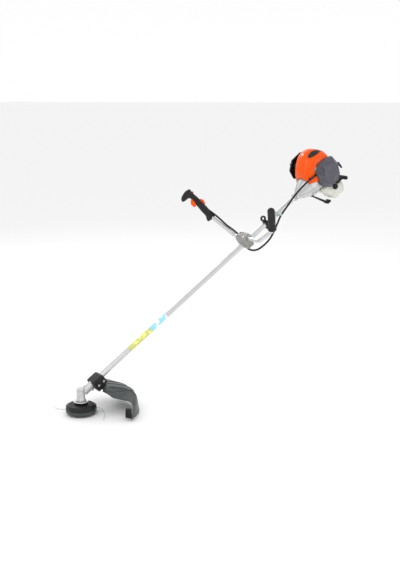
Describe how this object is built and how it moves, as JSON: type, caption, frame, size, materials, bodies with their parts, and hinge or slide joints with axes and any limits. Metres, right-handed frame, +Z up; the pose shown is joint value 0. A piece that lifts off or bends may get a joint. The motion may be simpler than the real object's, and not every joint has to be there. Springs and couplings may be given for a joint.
{
  "type": "string trimmer",
  "caption": "Petrol string trimmer with a straight tube, two-handed handlebar, side guard, two-line bump head and small rear engine.",
  "frame": {"origin": "lowest point of the bump knob, on the head's spin axis", "axes": "+Z up along the head's spin axis in the working pose, +X horizontally from the head towards the engine, +Y to the operator's right"},
  "size_m": [1.6102, 0.7345, 1.1703],
  "materials": {
    "bare_aluminium": "satin",
    "cast_aluminium": "cast",
    "clamp_casting": "cast",
    "steel": "satin",
    "flange_steel": "satin",
    "black_plastic": "textured",
    "grey_plastic": "textured",
    "filter_plastic": "satin",
    "orange_plastic": "gloss",
    "red_plastic": "gloss",
    "grip_rubber": "matt",
    "nylon": "satin",
    "tank_plastic": "translucent",
    "friction_lining": "matt",
    "filter_foam": "open cell",
    "plug_ceramic": "glazed"
  },
  "bodies": {
    "root": {"main_tube": "bare_aluminium", "shaft_bushes": "grip_rubber", "gear_case": "cast_aluminium", "gear_case_cap": "cast_aluminium", "bearings": "steel", "guard_shield": "grey_plastic", "guard_bracket": "black_plastic", "knife_holder": "black_plastic", "line_knife": "steel", "bolts": "steel", "handlebar": "bare_aluminium", "clamp_base": "clamp_casting", "clamp_cap": "clamp_casting", "left_grip": "grip_rubber", "throttle_case_left": "black_plastic", "throttle_case_right": "black_plastic", "throttle_cable": "grip_rubber", "harness_ring": "black_plastic", "clutch_housing": "cast_aluminium", "crankcase": "cast_aluminium", "conrod": "steel", "piston": "cast_aluminium", "engine_cylinder": "cast_aluminium", "spark_plug": "plug_ceramic", "muffler": "steel", "muffler_cover": "black_plastic", "carburettor": "cast_aluminium", "air_filter": "filter_foam", "filter_cover": "filter_plastic", "fuel_tank": "tank_plastic", "starter_housing": "black_plastic", "engine_cover": "orange_plastic", "stand": "black_plastic"},
    "head": {"output_shaft": "steel", "bevel_gear": "steel", "blade_flange": "flange_steel", "drive_adapter": "black_plastic", "head_housing": "black_plastic", "head_cover": "grey_plastic", "line_eyelets": "flange_steel", "cutting_line_a": "nylon", "cutting_line_b": "nylon", "bump_spring": "steel"},
    "bump": {"spool": "nylon", "bump_knob": "black_plastic"},
    "driveline": {"drive_shaft": "steel", "bevel_pinion": "steel", "clutch_drum": "steel"},
    "crank": {"crankshaft": "steel", "flywheel": "cast_aluminium", "clutch_shoes": "friction_lining"},
    "trigger": {"trigger": "orange_plastic"},
    "lockout": {"lockout_lever": "orange_plastic"},
    "stop": {"stop_switch": "red_plastic"},
    "carb_lever": {"throttle_lever": "steel"},
    "choke": {"choke_lever": "black_plastic"},
    "primer": {"primer_bulb": "tank_plastic"},
    "cap": {"fuel_cap": "black_plastic"},
    "pulley": {"starter_pulley": "black_plastic"},
    "pull_grip": {"starter_grip": "black_plastic"}
  },
  "joints": [
    {"name": "head_spin", "type": "hinge", "parent": "root", "child": "head", "pos_m": [0, 0, 0.095], "axis": [0, 0, 1], "continuous": true},
    {"name": "bump_press", "type": "slide", "parent": "head", "child": "bump", "axis": [0, 0, 1], "range_m": [0, 0.006], "stiffness_N_per_m": 1200, "springref_m": -0.006, "deforming": ["bump_spring"]},
    {"name": "drive_spin", "type": "hinge", "parent": "root", "child": "driveline", "pos_m": [0.57758, 0, 0.49048], "axis": [0.8251, 0, 0.565], "continuous": true},
    {"name": "crank_spin", "type": "hinge", "parent": "root", "child": "crank", "pos_m": [1.32018, 0, 0.99895], "axis": [0.8251, 0, 0.565], "continuous": true},
    {"name": "trigger_pull", "type": "hinge", "parent": "root", "child": "trigger", "pos_m": [0.7959, 0.31334, 0.90811], "axis": [-0.4302, -0.6483, 0.6282], "range_deg": [0, 18], "stiffness_Nm_per_rad": 0.4, "springref_deg": -14.32},
    {"name": "carb_lever_turn", "type": "hinge", "parent": "root", "child": "carb_lever", "pos_m": [1.28754, -0.057, 1.05901], "axis": [0.8251, 0, 0.565], "range_deg": [0, 63]},
    {"name": "lockout_press", "type": "hinge", "parent": "root", "child": "lockout", "pos_m": [0.83462, 0.25975, 0.87932], "axis": [-0.4302, -0.6483, 0.6282], "range_deg": [0, 10], "stiffness_Nm_per_rad": 0.3, "springref_deg": -11.46},
    {"name": "stop_slide", "type": "slide", "parent": "root", "child": "stop", "axis": [-0.2648, 0.7559, 0.5987], "range_m": [0, 0.005]},
    {"name": "choke_turn", "type": "hinge", "parent": "root", "child": "choke", "pos_m": [1.43778, -0.058, 1.08916], "axis": [0, -1, 0], "range_deg": [0, 50]},
    {"name": "primer_press", "type": "slide", "parent": "root", "child": "primer", "axis": [0, 1, 0], "range_m": [0, 0.004], "stiffness_N_per_m": 600, "springref_m": -0.003},
    {"name": "cap_turn", "type": "hinge", "parent": "root", "child": "cap", "pos_m": [1.42479, -0.058, 0.97362], "axis": [0, -1, 0], "range_deg": [0, 180]},
    {"name": "starter_pull", "type": "slide", "parent": "root", "child": "pull_grip", "axis": [0.8251, 0, 0.565], "range_m": [0, 0.7], "stiffness_N_per_m": 12, "springref_m": -0.3},
    {"name": "pulley_turn", "type": "hinge", "parent": "root", "child": "pulley", "pos_m": [1.40022, 0, 1.05375], "axis": [0.8251, 0, 0.565], "range_deg": [0, 1560]}
  ],
  "couplings": [
    {"joint": "drive_spin", "follows": "head_spin", "ratio": -1.3333},
    {"joint": "carb_lever_turn", "follows": "trigger_pull", "ratio": 3.5},
    {"joint": "pulley_turn", "follows": "starter_pull", "rad_per_m": 38}
  ]
}
